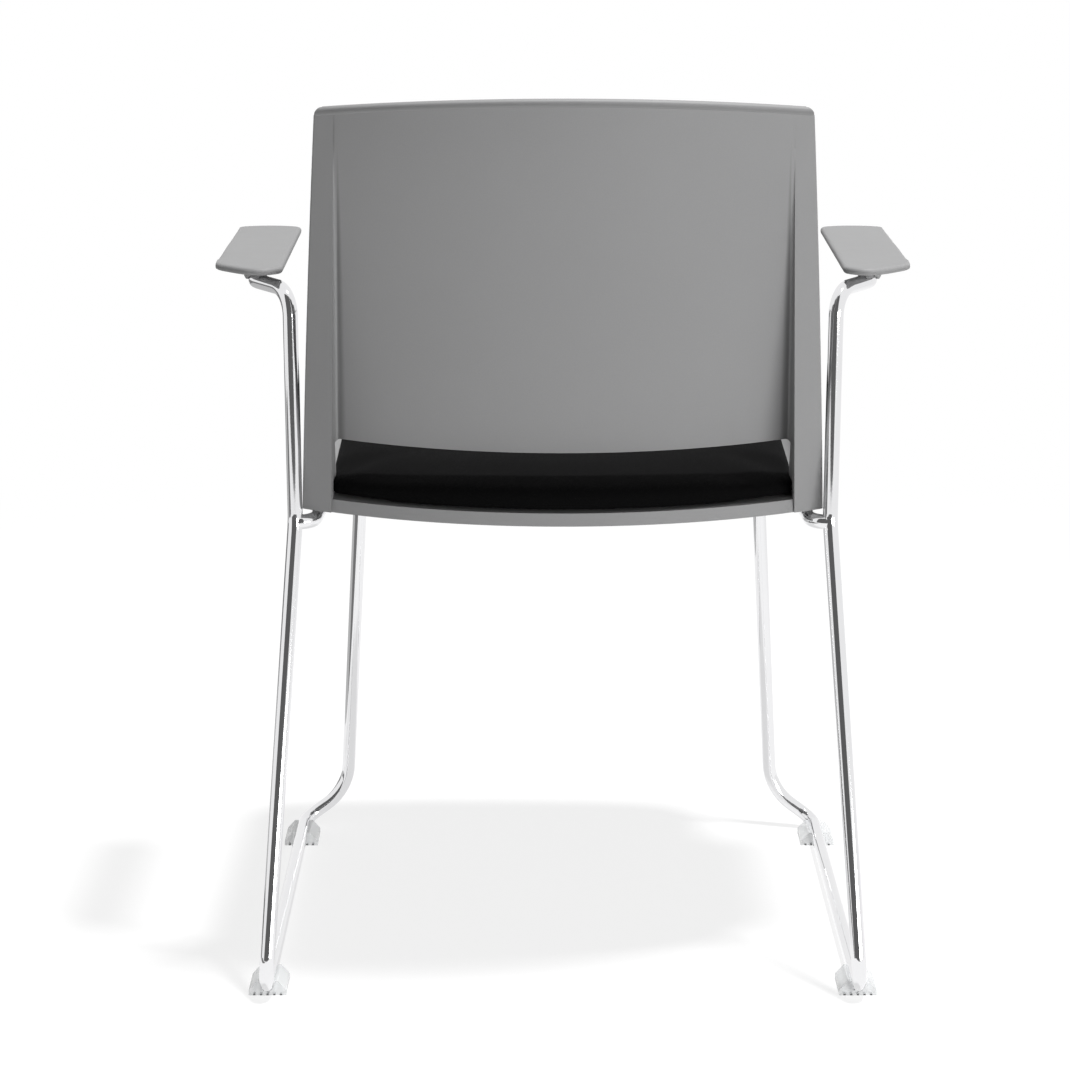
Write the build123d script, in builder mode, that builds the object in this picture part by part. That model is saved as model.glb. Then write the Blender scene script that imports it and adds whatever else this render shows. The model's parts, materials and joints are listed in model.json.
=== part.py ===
"""Stacking armchair on a sled base of bent rod, with a one-piece moulded shell and an upholstered seat pad.

Frame: X runs across the chair with the sitter's left at +X, the sitter faces -Y, and +Z is up.
The origin is on the floor under the middle of the chair. All sizes are millimetres and degrees.
"""

import math
import os

from build123d import *

os.makedirs("parts", exist_ok=True)

# Side frames: one bent rod on each side
rod_diameter = 14.0
floor_gap = 3.0
runner_half_span = 274.5
rear_corner_y = 286.0
rear_bend = 26.0
upright_y = 165.0
upright_foot_x = 248.6
upright_head_x = 250.4
kink_bend = 60.0
arm_height = 648.0
arm_rise = 1.0
arm_elbow_bend = 24.0
arm_rod_x = 287.0
arm_corner_y = 107.0
arm_turn_bend = 30.0
arm_rod_front_y = -95.0
front_corner_y = -256.0
runner_front_bend = 22.0
front_foot_x = 228.5
front_foot_y = -267.0
front_foot_z = 41.0
front_foot_bend = 55.0
front_top_x = 205.0
front_top_s = -397.0
front_top_bend = 35.0
rail_rear_x = 232.0
hook_bend = 15.5
hook_reach = 1.6

# Seat plane: tilted about the line where the hooks meet the uprights
rail_height = 430.0
seat_tilt = 3.0

# Cross bars and the plates that the shell is screwed to
bar_diameter = 12.0
rear_bar_s = -25.0
rear_bar_radius = 600.0
front_bar_s = -335.0
plate_width = 34.0
plate_length = 46.0
plate_thickness = 4.0
plate_saddle = 1.0
plate_x = 95.0
plate_reach = 24.0

# Moulded shell
wall = 5.0
skirt_wall = 4.0
skirt_clearance = 2.2
skirt_depth = 12.4
shell_half_width = 241.5
shell_rear_s = 52.5
shell_rear_radius = 475.0
band_recess = 2.0
seat_front_s = -441.6
seat_front_half_width = 232.0
seat_front_corner = 50.0
seat_front_bow = 14.0
seat_rear_corner = 10.0
waterfall_radius = 50.0
lip_length = 5.0
back_recline = 9.5
back_length = 397.0
back_top_half_width = 220.2
back_top_radius = 500.0
back_crown_tilt = 13.0
back_corner_radius = 7.5
top_bead_diameter = 8.0
top_bead_shift = -0.4
edge_bulge = 2.2
edge_swell = 1.3
strip_width_bottom = 26.5
strip_width_top = 16.5
step_start = 352.0
step_depth = 38.0
step_growth = 1.25
step_blend = 6.0
step_brow = 0.05
step_drop = 0.92
step_tail = 0.25
step_wall = 0.8
station_shares = (0.35, 0.53, 0.71)
panel_low = 64.5
opening_bow = 5.0
opening_corner = 6.0
opening_inset = 2.5
ramp_radius = 60.0
ramp_reach = 1.1
boss_diameter = 20.0
rib_thickness = 3.0
rib_clearance = 1.0
rib_x = (35.0, 165.0)

# Seat pad: board, foam and cover
pad_half_width = 211.5
pad_rear_gap = 14.0
pad_front_angle = 52.0
pad_side_height = 23.0
pad_crown = 7.0
pad_edge_radius = 9.0
pad_side_radius = 8.0
pad_foot_radius = 4.0
pad_corner_cut = 14.0
pad_corner_power = 4
pad_sections = 3
cover_thickness = 1.2
cover_fold = 26.0
board_thickness = 8.0
board_inset = 10.0
board_corner = 18.0
fit_clearance = 0.2
pad_screw_x = 140.0
pad_screw_s = (-115.0, -255.0)

# Arm pads
arm_pad_thickness = 7.0
arm_pad_inner_x = 258.0
arm_pad_outer_x = 322.5
arm_pad_rear_inner_s = 38.0
arm_pad_rear_outer_s = 6.0
arm_pad_rear_bow = 16.0
arm_pad_rear_peak = 0.35
arm_pad_front_s = -223.0
arm_pad_front_bow = 9.0
arm_pad_corner = 13.0
arm_pad_edge = 3.0
arm_pad_lift = 12.0
keel_top_width = 27.0
keel_foot_width = 19.0
keel_length = 215.0
keel_rear_s = 12.0
arm_screw_s = (-60.0, -160.0)

# Fasteners
m6 = 6.0
m6_hole = 6.6
m6_head = 12.0
m6_head_height = 3.6
washer_diameter = 14.0
washer_thickness = 1.6
insert_diameter = 9.0
insert_length = 10.0
tee_barrel = 8.0
tee_flange = 18.0
tee_flange_thickness = 1.4
m5 = 5.0
m5_hole = 5.4
m5_head = 9.0
m5_head_height = 3.2
m5_counterbore = 9.4
arm_screw_grip = 14.0
socket_share = 0.6
run_out = 1.0

# Glides under the runners
glide_width = 35.0
glide_top_width = 19.0
glide_foot_height = 5.0
glide_height = 14.0
glide_length = 46.0
glide_rear_y = 259.0
glide_front_y = -195.0
glide_grooves = 5
glide_groove_pitch = 6.2
glide_groove_width = 2.2
glide_groove_depth = 1.6
peg_diameter = 5.0
peg_length = 5.0
peg_clearance = 0.2

# Values worked out from the sizes above
rod_radius = rod_diameter / 2
runner_height = floor_gap + rod_radius
tilt = math.radians(seat_tilt)
rise = math.radians(arm_rise)
recline = math.radians(back_recline)
skirt_low = rod_radius + skirt_clearance
pan_top = skirt_low + skirt_depth
pan_underside = pan_top - wall
bar_radius = bar_diameter / 2
plate_top = bar_radius - plate_saddle + plate_thickness
roll_s = seat_front_s + waterfall_radius
roll_h = pan_top - waterfall_radius
slant = math.sqrt(0.5)
far = 400.0

seat_plane = Plane(
    origin=(0, upright_y, rail_height),
    x_dir=(1, 0, 0),
    z_dir=(0, math.sin(tilt), math.cos(tilt)),
)
seat_side = Plane(origin=seat_plane.origin, x_dir=seat_plane.y_dir, z_dir=(1, 0, 0))
arm_plane = Plane(
    origin=(0, arm_corner_y, arm_height),
    x_dir=(1, 0, 0),
    z_dir=(0, math.sin(rise), math.cos(rise)),
)


def on_seat(x, s, h=0.0):
    """Point at x across, s behind the hooks along the seat, and h above the rail centre lines."""
    return seat_plane.from_local_coords(Vector(x, s, h))


def on_arm(x, s, h=0.0):
    """Point at x across, s behind the arm's corner along the arm, and h above its rod's centre line."""
    return arm_plane.from_local_coords(Vector(x, s, h))


def arm_face(s, h):
    """Plane across an arm screw's axis at s along the arm and h above its rod's centre line."""
    return Plane(origin=on_arm(arm_rod_x, s, h), z_dir=arm_plane.z_dir)


def drop_of_arc(radius, x):
    """How far an arc of this radius falls away from its middle at x."""
    return radius - math.sqrt(radius**2 - x**2)


def bent_rod(points, bends, diameter):
    """Round rod along straight runs joined by tangent bends."""
    with BuildPart() as rod:
        with BuildLine() as centre_line:
            FilletPolyline(*points, radius=bends)
        start = centre_line.wire()
        with BuildSketch(Plane(origin=start @ 0, z_dir=start % 0)):
            Circle(diameter / 2)
        sweep(path=centre_line.wire())
    return rod.part


def save(builder, name):
    """Label a finished piece and write its file."""
    builder.part.label = name
    export_step(builder.part, f"parts/{name}.step")


def save_pair(left, name):
    """Write a piece of the sitter's left and its mirror image on the right."""
    with BuildPart() as right:
        mirror(left.part, about=Plane.YZ)
    save(left, f"left_{name}")
    save(right, f"right_{name}")


# Side rod: arm, upright, rear leg, runner, front leg, seat rail, and the hook back to the upright
arm_front_s = -(arm_corner_y - arm_rod_front_y) / math.cos(rise)
elbow_s = (upright_y - arm_corner_y) / math.cos(rise)
hook_corner = on_seat(rail_rear_x, 0)
front_top = on_seat(front_top_x, front_top_s)
kink = Vector(upright_foot_x, upright_y, rail_height)
rail_joint = hook_corner + (front_top - hook_corner).normalized() * (hook_bend * hook_reach)
rod_points = [
    on_arm(arm_rod_x, arm_front_s),
    on_arm(arm_rod_x, 0),
    on_arm(upright_head_x, elbow_s),
    kink,
    (runner_half_span, rear_corner_y, runner_height),
    (runner_half_span, front_corner_y, runner_height),
    (front_foot_x, front_foot_y, front_foot_z),
    front_top,
    rail_joint,
]
rod_bends = [
    arm_turn_bend,
    arm_elbow_bend,
    kink_bend,
    rear_bend,
    runner_front_bend,
    front_foot_bend,
    front_top_bend,
]
peg_spots = [(runner_half_span, y - glide_length / 2) for y in (glide_rear_y, glide_front_y)]

with BuildPart() as left_side_rod:
    add(bent_rod(rod_points, rod_bends, rod_diameter))
    add(bent_rod([rail_joint, hook_corner, kink], [hook_bend], rod_diameter))
    with Locations(*[(x, y, floor_gap - peg_clearance) for x, y in peg_spots]):
        Cylinder(
            peg_diameter / 2 + peg_clearance,
            peg_length + 2 * peg_clearance,
            align=(Align.CENTER, Align.CENTER, Align.MIN),
            mode=Mode.SUBTRACT,
        )
    for s in arm_screw_s:
        with BuildSketch(arm_face(s, -rod_radius)):
            Circle(m5_hole / 2)
        extrude(amount=rod_diameter + run_out, both=True, mode=Mode.SUBTRACT)
        with BuildSketch(arm_face(s, -rod_radius - run_out)):
            Circle(m5_counterbore / 2)
        extrude(amount=m5_head_height + run_out, mode=Mode.SUBTRACT)
save_pair(left_side_rod, "side_rod")


# Cross bars between the rails, coped round them; the rear one is bowed like the shell's rear edge
def rail_x(s):
    """Where a rail's centre line lies at s."""
    return rail_rear_x + (front_top_x - rail_rear_x) * s / front_top_s


rear_bar_half = rail_x(rear_bar_s - drop_of_arc(rear_bar_radius, rail_rear_x))
rear_bar_end = rear_bar_s - drop_of_arc(rear_bar_radius, rear_bar_half)

with BuildPart() as rear_cross_bar:
    with BuildLine(seat_plane) as bowed_line:
        ThreePointArc((-rear_bar_half, rear_bar_end), (0, rear_bar_s), (rear_bar_half, rear_bar_end))
    start = bowed_line.wire()
    with BuildSketch(Plane(origin=start @ 0, z_dir=start % 0)):
        Circle(bar_radius)
    sweep(path=bowed_line.wire())
    add(left_side_rod.part, mode=Mode.SUBTRACT)
    mirror(left_side_rod.part, about=Plane.YZ, mode=Mode.SUBTRACT)
save(rear_cross_bar, "rear_cross_bar")

with BuildPart() as front_cross_bar:
    with BuildSketch(Plane(origin=on_seat(0, front_bar_s), z_dir=(1, 0, 0))):
        Circle(bar_radius)
    extrude(amount=rail_x(front_bar_s), both=True)
    add(left_side_rod.part, mode=Mode.SUBTRACT)
    mirror(left_side_rod.part, about=Plane.YZ, mode=Mode.SUBTRACT)
save(front_cross_bar, "front_cross_bar")


# Back of the shell: stations up its length, each an arched wall with the middle panel stepped forward
def share(t):
    """Share of the back's length at station t."""
    return t / back_length


def blend(low, high, t):
    """Value that changes evenly from the foot of the back to its top."""
    return low + (high - low) * share(t)


def step_at(t):
    """How far the panel stands forward of the side strips at station t."""
    if t >= step_start:
        return 0.0
    return step_depth * ((step_start - t) / (step_start - panel_low)) ** step_growth


def back_plane(t):
    """Plane of the station at t, tilted like the seat at the foot and rising to the rear at the top."""
    angle = math.radians(blend(-seat_tilt, back_crown_tilt, t))
    foot = on_seat(0, shell_rear_s, skirt_low)
    spine = foot + Vector(0, math.sin(recline), math.cos(recline)) * t
    return Plane(origin=spine, x_dir=(1, 0, 0), z_dir=(0, -math.sin(angle), math.cos(angle)))


def arch_point(radius, x, inset, forward):
    """Point of an arch whose rear face has this radius, seen in its station's plane."""
    angle = math.asin(x / radius)
    reach = radius - inset
    return (reach * math.sin(angle), reach * math.cos(angle) - radius - forward)


def arched_side(radius, outer, inner, step, inset):
    """Half of one face of a station: strip, blended step and panel, from the edge to the middle."""
    foot = inner - step_blend
    return {
        "edge": arch_point(radius, outer, inset, 0),
        "strip": arch_point(radius, (outer + inner) / 2, inset, 0),
        "brow": arch_point(radius, inner, inset, 0),
        "steep": arch_point(radius, inner - step_brow * step_blend, inset, step_drop * step),
        "flat": arch_point(radius, inner - step_tail * step_blend, inset, step),
        "foot": arch_point(radius, foot, inset, step),
        "middle": arch_point(radius, 0, inset, step),
    }


def across(point):
    """The same point on the other half."""
    return (-point[0], point[1])


def trace_face(face):
    """Lines of one face of a station, from one edge to the other."""
    ThreePointArc(face["edge"], face["strip"], face["brow"])
    Bezier(face["brow"], face["steep"], face["flat"], face["foot"])
    ThreePointArc(face["foot"], face["middle"], across(face["foot"]))
    Bezier(across(face["foot"]), across(face["flat"]), across(face["steep"]), across(face["brow"]))
    ThreePointArc(across(face["brow"]), across(face["strip"]), across(face["edge"]))


stations = [0, panel_low, *(k * back_length for k in station_shares), step_start, back_length]

with BuildPart() as shell_back:
    for t in stations:
        radius = blend(shell_rear_radius, back_top_radius, t)
        swell = 4 * edge_swell * share(t) * (1 - share(t))
        outer = blend(shell_half_width, back_top_half_width, t) + swell
        inner = blend(shell_half_width - strip_width_bottom, back_top_half_width - strip_width_top, t)
        rear = arched_side(radius, outer, inner, step_at(t), 0)
        front = arched_side(radius, outer, inner + step_wall * wall, step_at(t), wall)
        edge = arch_point(radius, outer + edge_bulge, wall / 2, 0)
        with BuildSketch(back_plane(t)):
            with BuildLine():
                trace_face(rear)
                trace_face(front)
                ThreePointArc(rear["edge"], edge, front["edge"])
                ThreePointArc(across(rear["edge"]), across(edge), across(front["edge"]))
            make_face()
    loft()

# Shell: the back with its rolled top edge and corner ramps, the opening under the panel, and the seat pan
top_plane = back_plane(back_length)
top_edge = arch_point(back_top_radius, back_top_half_width, wall / 2, 0)
top_middle = arch_point(back_top_radius, 0, wall / 2, 0)
corner = top_plane.from_local_coords(Vector(*top_edge, 0))
corner_spot = (
    corner.X + edge_bulge - back_corner_radius,
    corner.Z + top_bead_diameter / 2 - back_corner_radius,
)
opening_half = shell_half_width - strip_width_bottom - opening_inset
opening_top = back_plane(panel_low).origin.Z
opening_side = opening_top + opening_bow
back_taper = math.degrees(math.atan2(shell_half_width - back_top_half_width, back_length))


def seat_outline(inset, rear_s):
    """Plan outline of the seat pan, drawn in by an inset on every side."""
    half = shell_half_width + edge_bulge / 2 - inset
    front_half = seat_front_half_width - inset
    front_s = seat_front_s + inset
    rear_radius = shell_rear_radius - band_recess - inset
    rear_end = rear_s - inset - drop_of_arc(rear_radius, half)
    with BuildSketch(Plane.XY) as outline:
        with BuildLine():
            ThreePointArc((-half, rear_end), (0, rear_s - inset), (half, rear_end))
            Line((half, rear_end), (front_half, front_s + seat_front_bow))
            ThreePointArc(
                (front_half, front_s + seat_front_bow), (0, front_s), (-front_half, front_s + seat_front_bow)
            )
            Line((-front_half, front_s + seat_front_bow), (-half, rear_end))
        make_face()
        fillet(outline.vertices().group_by(Axis.Y)[0], seat_front_corner - inset)
        fillet(outline.vertices().group_by(Axis.Y)[-1], seat_rear_corner - inset)
    return outline.sketch


def seat_layer(upper, lower, drop):
    """Side view of a layer of the seat between two depths under its top, rolled down at the front."""
    outer = waterfall_radius - upper
    inner = waterfall_radius - lower
    with BuildSketch(Plane.XY) as layer:
        with BuildLine():
            Line((far, pan_top - upper), (roll_s, pan_top - upper))
            ThreePointArc(
                (roll_s, pan_top - upper),
                (roll_s - outer * slant, roll_h + outer * slant),
                (roll_s - outer, roll_h),
            )
            Polyline(
                (roll_s - outer, roll_h),
                (roll_s - outer, roll_h - drop),
                (roll_s - inner, roll_h - drop),
                (roll_s - inner, roll_h),
            )
            ThreePointArc(
                (roll_s - inner, roll_h),
                (roll_s - inner * slant, roll_h + inner * slant),
                (roll_s, pan_top - lower),
            )
            Polyline((roll_s, pan_top - lower), (far, pan_top - lower), (far, pan_top - upper))
        make_face()
    return layer.sketch


def ramp_side(x, taper):
    """Side view of the corner ramp at x, from the seat border up to the strip, leaning in by a taper."""
    strip_s = shell_rear_s - wall / 2 - drop_of_arc(shell_rear_radius, x)
    lean = math.tan(recline - tilt)
    sunk = pan_top - wall / 2
    knee = (strip_s + lean * (sunk - skirt_low), sunk)
    head_h = sunk + ramp_reach * ramp_radius
    head = (strip_s + lean * (head_h - skirt_low), head_h)
    toe = (knee[0] - ramp_reach * ramp_radius, sunk)
    with BuildSketch(seat_side.offset(x).rotated((0, taper, 0))) as side:
        with BuildLine():
            FilletPolyline(head, knee, toe, radius=ramp_radius)
            Polyline(toe, (toe[0], sunk - run_out), (knee[0], sunk - run_out), head)
        make_face()
    return side.sketch


with BuildPart() as shell_rear:
    add(shell_back.part)
    with BuildLine(top_plane) as top_line:
        ThreePointArc(top_edge, top_middle, across(top_edge))
    start = top_line.wire()
    with BuildSketch(Plane(origin=start @ 0, x_dir=top_plane.z_dir, z_dir=start % 0)):
        with Locations((0, -top_bead_shift)):
            Circle(top_bead_diameter / 2)
    sweep(path=top_line.wire())
    for side in (1, -1):
        inner_x = side * (opening_half + run_out)
        outer_x = side * shell_half_width
        loft(sections=[ramp_side(inner_x, 0), ramp_side(outer_x, -side * back_taper)])
        with BuildSketch(Plane.XZ):
            with Locations((side * corner_spot[0], corner_spot[1])):
                Rectangle(
                    2 * back_corner_radius,
                    2 * back_corner_radius,
                    align=(Align.MIN if side > 0 else Align.MAX, Align.MIN),
                )
                Circle(back_corner_radius, mode=Mode.SUBTRACT)
        extrude(amount=far, both=True, mode=Mode.SUBTRACT)
    with BuildSketch(Plane.XZ) as opening:
        with BuildLine():
            ThreePointArc((-opening_half, opening_side), (0, opening_top), (opening_half, opening_side))
            Polyline(
                (opening_half, opening_side),
                (opening_half, opening_side - far / 2),
                (-opening_half, opening_side - far / 2),
                (-opening_half, opening_side),
            )
        make_face()
        fillet(opening.vertices().group_by(Axis.Y)[-1], opening_corner)
    extrude(amount=far, both=True, mode=Mode.SUBTRACT)

# Seat pan: a plate with a skirt all round, rolled down at the front, on bosses over the frame's plates
pan_rear_s = shell_rear_s - band_recess
plate_holes = []
for side in (1, -1):
    rear_s = rear_bar_s - drop_of_arc(rear_bar_radius, plate_x)
    plate_holes.append((side * plate_x, rear_s - plate_reach))
    plate_holes.append((side * plate_x, front_bar_s + plate_reach))
pad_holes = [(side * pad_screw_x, s) for side in (1, -1) for s in pad_screw_s]

with BuildPart() as seat_hollow:
    with BuildSketch(seat_side):
        add(seat_layer(wall, 3 * skirt_depth, 2 * lip_length))
    extrude(amount=far, both=True)
    with BuildSketch(seat_plane.offset(-far)):
        add(seat_outline(skirt_wall, pan_rear_s))
    extrude(amount=2 * far, mode=Mode.INTERSECT)

with BuildPart() as seat_ribs:
    with BuildSketch(seat_plane.offset(skirt_low + rib_clearance)):
        for x in rib_x:
            with Locations((x, 0), (-x, 0)):
                Rectangle(rib_thickness, 4 * far)
    extrude(amount=skirt_depth)
    add(seat_hollow.part, mode=Mode.INTERSECT)

with BuildPart() as seat_pan:
    with BuildSketch(seat_side):
        add(seat_layer(0, skirt_depth, lip_length))
    extrude(amount=far, both=True)
    with BuildSketch(seat_plane.offset(-far)):
        add(seat_outline(0, pan_rear_s))
    extrude(amount=2 * far, mode=Mode.INTERSECT)
    add(seat_hollow.part, mode=Mode.SUBTRACT)
    add(seat_ribs.part)
    with BuildSketch(seat_plane.offset(plate_top)):
        with Locations(*plate_holes):
            Circle(boss_diameter / 2)
    extrude(amount=pan_underside - plate_top + wall / 2)
    with BuildSketch(seat_plane.offset(plate_top)):
        with Locations(*plate_holes):
            Circle(insert_diameter / 2)
    extrude(amount=insert_length, mode=Mode.SUBTRACT)
    with BuildSketch(seat_plane.offset(pan_underside - run_out)):
        with Locations(*pad_holes):
            Circle(m6_hole / 2)
    extrude(amount=wall + 2 * run_out, mode=Mode.SUBTRACT)

with BuildPart() as shell:
    add(shell_rear.part)
    add(seat_pan.part)
save(shell, "shell")

# Plates welded on the cross bars, with the screws, washers and inserts that hold the shell down
plate_spots = {"rear": plate_holes[0], "front": plate_holes[1]}
for end, (x, s) in plate_spots.items():
    toward_bar = 1 if end == "rear" else -1
    middle_s = s + toward_bar * (plate_reach + bar_radius - plate_length / 2)
    with BuildPart() as left_plate:
        with BuildSketch(seat_plane.offset(plate_top - plate_thickness)) as plate_face:
            with Locations((x, middle_s)):
                RectangleRounded(plate_width, plate_length, plate_thickness)
            with Locations((x, s)):
                Circle(m6_hole / 2, mode=Mode.SUBTRACT)
        extrude(amount=plate_thickness)
        add(rear_cross_bar.part if end == "rear" else front_cross_bar.part, mode=Mode.SUBTRACT)
    save_pair(left_plate, f"{end}_plate")

head_top = plate_top - plate_thickness - washer_thickness
with BuildPart() as shell_inserts:
    with BuildSketch(seat_plane.offset(plate_top)):
        with Locations(*plate_holes):
            Circle(insert_diameter / 2)
            Circle(m6 / 2, mode=Mode.SUBTRACT)
    extrude(amount=insert_length)
save(shell_inserts, "shell_inserts")

with BuildPart() as frame_washers:
    with BuildSketch(seat_plane.offset(head_top)):
        with Locations(*plate_holes):
            Circle(washer_diameter / 2)
            Circle(m6_hole / 2, mode=Mode.SUBTRACT)
    extrude(amount=washer_thickness)
save(frame_washers, "frame_washers")


def screws(spots, head_face, shank_top):
    """Socket-head screws pointing up along the seat's normal, with their heads below a face."""
    with BuildPart() as group:
        with BuildSketch(seat_plane.offset(head_face - m6_head_height)):
            with Locations(*spots):
                Circle(m6_head / 2)
        extrude(amount=m6_head_height)
        with BuildSketch(seat_plane.offset(head_face)):
            with Locations(*spots):
                Circle(m6 / 2)
        extrude(amount=shank_top - head_face)
        with BuildSketch(seat_plane.offset(head_face - m6_head_height)):
            with Locations(*spots):
                RegularPolygon(m6 / 3, 6)
        extrude(amount=m6_head_height * socket_share, mode=Mode.SUBTRACT)
    return group


save(screws(plate_holes, head_top, plate_top + insert_length), "frame_screws")


# Seat pad: sections across its width, crowned over the middle and drawn in at the foot
pad_rear_s = shell_rear_s - pad_rear_gap
pad_rear_radius = shell_rear_radius - pad_rear_gap


def roll_point(reach, angle):
    """Point round the front roll of the seat at a distance from its axis and an angle from the top."""
    return (roll_s - reach * math.sin(angle), roll_h + reach * math.cos(angle))


def pad_section(x, half, inset, height):
    """Side view of the pad at x: flat foot, rounded front and rear ends, and the top at this height."""
    low = waterfall_radius + inset
    high = waterfall_radius + height - inset
    edge = pad_edge_radius - inset
    rear = pad_rear_s - inset - drop_of_arc(pad_rear_radius, x)
    corner_cut = pad_corner_cut * (abs(x) / half) ** pad_corner_power
    rear = rear - corner_cut / 2
    end = math.radians(pad_front_angle) - (inset + corner_cut) / waterfall_radius
    round_angle = edge / high
    foot = pad_foot_radius
    front_high = roll_point(high, end - round_angle)
    front_side = roll_point(high - edge, end)
    front_round = roll_point(high - edge * (1 - slant), end - round_angle * (1 - slant))
    front_low = roll_point(low, end - foot / low)
    front_mid = roll_point((low + high - edge) / 2, end)
    with BuildSketch(seat_side.offset(x)) as side:
        with BuildLine():
            Line((rear - foot, roll_h + low), (roll_s, roll_h + low))
            ThreePointArc((roll_s, roll_h + low), roll_point(low, end / 2), front_low)
            ThreePointArc(front_low, front_mid, front_side)
            ThreePointArc(front_side, front_round, front_high)
            ThreePointArc(front_high, roll_point(high, end / 2 - round_angle / 2), (roll_s, roll_h + high))
            Line((roll_s, roll_h + high), (rear - edge, roll_h + high))
            ThreePointArc(
                (rear - edge, roll_h + high),
                (rear - edge * (1 - slant), roll_h + high - edge * (1 - slant)),
                (rear, roll_h + high - edge),
            )
            ThreePointArc(
                (rear, roll_h + high - edge),
                (rear - foot / 4, roll_h + (low + high - edge) / 2),
                (rear - foot, roll_h + low),
            )
        make_face()
    return side.sketch


def pad_form(inset):
    """The pad's outer form, drawn in by an inset on every side."""
    half = pad_half_width - inset
    faces = []
    for step in range(-pad_sections, pad_sections + 1):
        x = half * step / pad_sections
        crown = pad_crown * (1 - (x / half) ** 2)
        faces.append(pad_section(x, half, inset, pad_side_height + crown))
    with BuildPart() as form:
        loft(sections=faces)
        sides = form.faces().sort_by(Axis.X)
        fillet(sides[0].edges() + sides[-1].edges(), pad_side_radius - inset)
    return form.part


def pad_outline(inset):
    """Plan outline of the pad's flat foot behind the front roll, drawn in by an inset."""
    half = pad_half_width - inset
    rear_radius = pad_rear_radius - inset
    rear_end = pad_rear_s - inset - drop_of_arc(rear_radius, half)
    front_s = roll_s + inset
    with BuildSketch(Plane.XY) as outline:
        with BuildLine():
            ThreePointArc((-half, rear_end), (0, pad_rear_s - inset), (half, rear_end))
            Polyline((half, rear_end), (half, front_s), (-half, front_s), (-half, rear_end))
        make_face()
        fillet(outline.vertices(), board_corner)
    return outline.sketch


board_low = pan_top + cover_thickness
board_top = board_low + board_thickness

with BuildPart() as seat_board:
    with BuildSketch(seat_plane.offset(board_low)):
        add(pad_outline(board_inset))
        with Locations(*pad_holes):
            Circle(tee_barrel / 2, mode=Mode.SUBTRACT)
    extrude(amount=board_thickness)
    with BuildSketch(seat_plane.offset(board_top - tee_flange_thickness)):
        with Locations(*pad_holes):
            Circle(tee_flange / 2)
    extrude(amount=tee_flange_thickness, mode=Mode.SUBTRACT)
save(seat_board, "seat_board")

with BuildPart() as seat_tee_nuts:
    with BuildSketch(seat_plane.offset(board_low)):
        with Locations(*pad_holes):
            Circle(tee_barrel / 2)
    extrude(amount=board_thickness)
    with BuildSketch(seat_plane.offset(board_top - tee_flange_thickness)):
        with Locations(*pad_holes):
            Circle(tee_flange / 2)
    extrude(amount=tee_flange_thickness)
    with BuildSketch(seat_plane.offset(board_low)):
        with Locations(*pad_holes):
            Circle(m6 / 2)
    extrude(amount=board_thickness, mode=Mode.SUBTRACT)
save(seat_tee_nuts, "seat_tee_nuts")

save(screws(pad_holes, pan_underside, board_top - tee_flange_thickness), "seat_screws")

with BuildPart() as seat_foam:
    add(pad_form(cover_thickness + fit_clearance))
    add(seat_board.part, mode=Mode.SUBTRACT)
    with BuildSketch(seat_plane.offset(pan_top)):
        with Locations(*pad_holes):
            Circle(tee_flange / 2)
    extrude(amount=board_top - pan_top, mode=Mode.SUBTRACT)
save(seat_foam, "seat_foam")

with BuildPart() as seat_cover:
    add(pad_form(0))
    add(pad_form(cover_thickness), mode=Mode.SUBTRACT)
    with BuildSketch(seat_plane.offset(board_low - far)):
        add(pad_outline(cover_fold))
    extrude(amount=far, mode=Mode.SUBTRACT)
save(seat_cover, "seat_cover")


# Arm pads: a thin rounded plate on a keel that is grooved over the rod, screwed through the rod from below
with BuildPart() as left_arm_pad:
    with BuildSketch(arm_plane.offset(arm_pad_lift)) as pad_plan:
        with BuildLine():
            rear_inner = (arm_pad_inner_x, arm_pad_rear_inner_s)
            rear_outer = (arm_pad_outer_x, arm_pad_rear_outer_s)
            rear_mid_x = arm_pad_inner_x + arm_pad_rear_peak * (arm_pad_outer_x - arm_pad_inner_x)
            ThreePointArc(rear_inner, (rear_mid_x, arm_pad_rear_inner_s + arm_pad_rear_bow), rear_outer)
            front_outer = (arm_pad_outer_x, arm_pad_front_s)
            front_inner = (arm_pad_inner_x, arm_pad_front_s)
            front_mid_x = (arm_pad_inner_x + arm_pad_outer_x) / 2
            Line(rear_outer, front_outer)
            ThreePointArc(front_outer, (front_mid_x, arm_pad_front_s - arm_pad_front_bow), front_inner)
            Line(front_inner, rear_inner)
        make_face()
        fillet(pad_plan.vertices(), arm_pad_corner)
    extrude(amount=arm_pad_thickness)
    fillet(left_arm_pad.edges().filter_by(arm_plane), arm_pad_edge)
    with BuildSketch(arm_plane.offset(arm_pad_lift + run_out)):
        with Locations((arm_rod_x, keel_rear_s - keel_length / 2)):
            SlotOverall(keel_length, keel_top_width, rotation=90)
    with BuildSketch(arm_plane):
        with Locations((arm_rod_x, keel_rear_s - keel_length / 2)):
            SlotOverall(keel_length - 2 * arm_pad_lift, keel_foot_width, rotation=90)
    loft()
    add(left_side_rod.part, mode=Mode.SUBTRACT)
    for s in arm_screw_s:
        with BuildSketch(arm_face(s, 0)):
            Circle(m5 / 2)
        extrude(amount=arm_screw_grip, mode=Mode.SUBTRACT)
save_pair(left_arm_pad, "arm_pad")

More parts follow.
